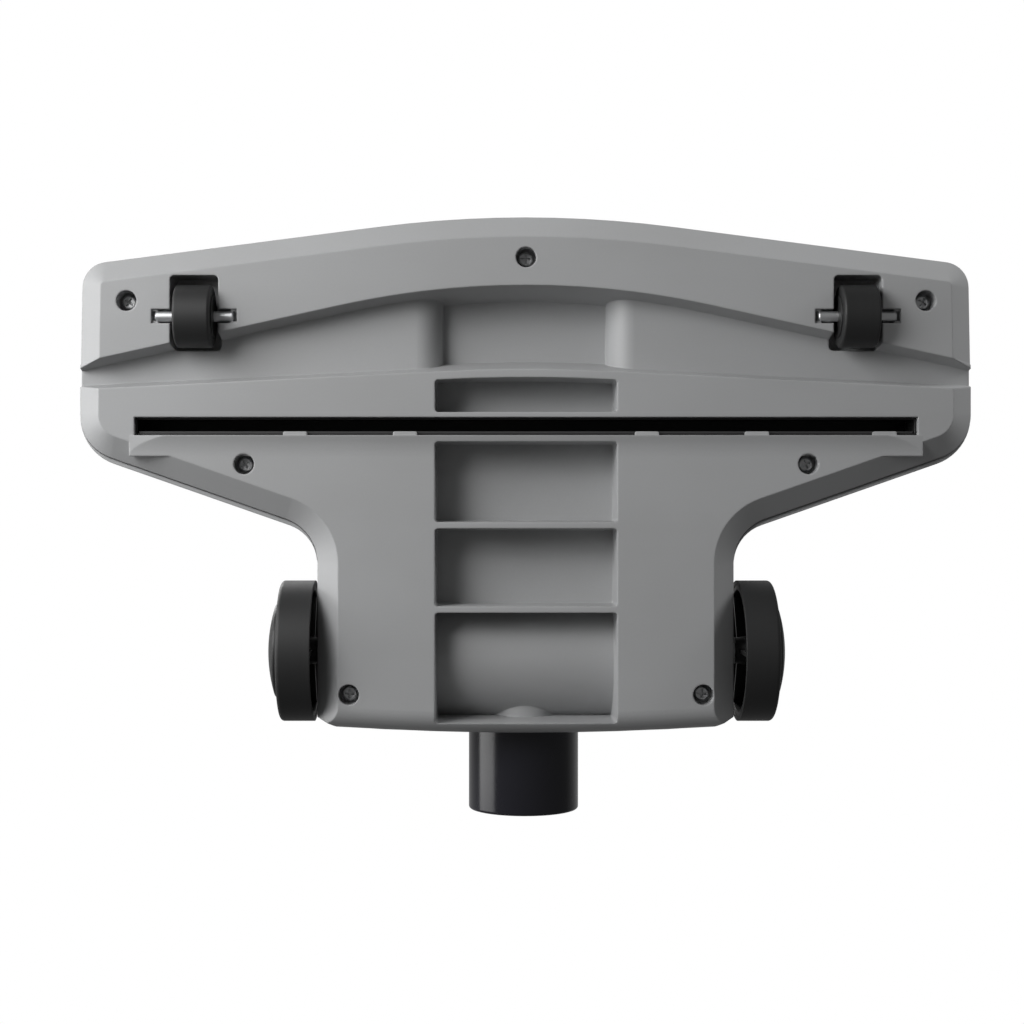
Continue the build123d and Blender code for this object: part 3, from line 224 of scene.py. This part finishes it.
FINISHES = {
    "sole_plastic": moulded_grey("sole_grey", 0.36),
    "cover_plastic": moulded_grey("cover_grey", 0.37),
    "black_plastic": moulded_black("satin_black", 0.012, 0.42),
    "neck_plastic": glossy_black("gloss_black"),
    "tread_rubber": rubber("tread_black", 0.014),
    "seal_rubber": rubber("seal_black", 0.03),
    "bearing_plastic": bearing_white("slippery_white"),
    "steel": steel("drawn_steel", 0.8, 0.36),
    "screw_steel": steel("zinc_steel", 0.6, 0.3),
}
for part in frame["record"]["subparts"]:
    mesh = nodes[part["node"]].data
    mesh.materials.clear()
    mesh.materials.append(FINISHES[part["material_slot"]])


# ---- stage: floor, lamps, world and camera
def pale_floor():
    """Floor that is there from above, and out of the way of a camera below it."""
    finish = Finish("studio_floor")
    dusting = finish.noise(3.0, 3.0)
    colour = finish.mixed(dusting, grey(0.80), grey(0.83))
    top = finish.add("ShaderNodeBsdfPrincipled", {}, {"Base Color": colour, "Roughness": 0.6})
    clear = finish.add("ShaderNodeBsdfTransparent")
    below = finish.add("ShaderNodeNewGeometry", out="Backfacing")
    finish.show(finish.add("ShaderNodeMixShader", {}, [below, top, clear]))
    half = FLOOR_HALF
    corners = [(-half, -half, 0), (half, -half, 0), (half, half, 0), (-half, half, 0)]
    mesh = bpy.data.meshes.new("floor")
    mesh.from_pydata(corners, [], [(0, 1, 2, 3)])
    mesh.materials.append(finish.material)
    floor = bpy.data.objects.new("floor", mesh)
    bpy.context.scene.collection.objects.link(floor)
    floor.visible_diffuse = False
    floor.visible_glossy = False
    floor.visible_shadow = False
    floor.visible_transmission = False


def lamp(name, place, size, watts, mirrored):
    """Area lamp that points at the head, and shows in its glossy surfaces only if mirrored."""
    light = bpy.data.lights.new(name, "AREA")
    light.shape = "RECTANGLE"
    light.size, light.size_y = size
    light.energy = watts
    one = bpy.data.objects.new(name, light)
    one.location = place
    toward = Vector(HEAD_MIDDLE) - Vector(place)
    one.rotation_euler = toward.to_track_quat("-Z", "Y").to_euler()
    one.visible_glossy = mirrored
    bpy.context.scene.collection.objects.link(one)


def studio_world(below, above, seen):
    """White for the camera; for everything else a soft light, weak from below, stronger above."""
    world = bpy.data.worlds.new("studio")
    sky = Graph(world, "ShaderNodeOutputWorld")
    where = sky.add("ShaderNodeTexCoord", out="Generated")
    height = sky.add("ShaderNodeSeparateXYZ", {}, [where], out="Z")
    strength = sky.add("ShaderNodeMapRange", {}, [height, 0.2, 0.8, below, above])
    camera_ray = sky.add("ShaderNodeLightPath", out="Is Camera Ray")
    shown = sky.add("ShaderNodeMix", {}, {0: camera_ray, 2: strength, 3: seen})
    sky.show(sky.add("ShaderNodeBackground", {}, {"Color": WHITE, "Strength": shown}))
    bpy.context.scene.world = world


def sole_camera():
    """Camera under the head, a little to one side of its middle, looking straight up."""
    data = bpy.data.cameras.new("camera")
    data.lens = CAMERA_LENS
    data.sensor_width = 36.0
    data.shift_x = CAMERA_SHIFT
    camera = bpy.data.objects.new("camera", data)
    x, y, z = CAMERA_PLACE
    camera.matrix_world = Matrix(((1, 0, 0, x), (0, -1, 0, y), (0, 0, -1, z), (0, 0, 0, 1)))
    bpy.context.scene.collection.objects.link(camera)
    bpy.context.scene.camera = camera


pale_floor()
studio_world(0.12, 0.35, 1.0)
lamp("sole_key", (-0.52, -0.35, -0.44), (0.45, 0.45), 5.5, mirrored=True)
lamp("left_graze", (-1.2, -0.1, -0.06), (0.9, 0.9), 8.0, mirrored=True)
lamp("side_fill", (0.935, -0.600, -0.05), (0.5, 0.5), 6.5, mirrored=False)
lamp("top_key", (-0.9, -1.0, 1.4), (1.2, 1.2), 26.0, mirrored=True)
lamp("top_fill", (0.8, 0.4, 1.5), (1.2, 1.2), 12.0, mirrored=False)
sole_camera()
bpy.context.scene.view_settings.view_transform = "Standard"
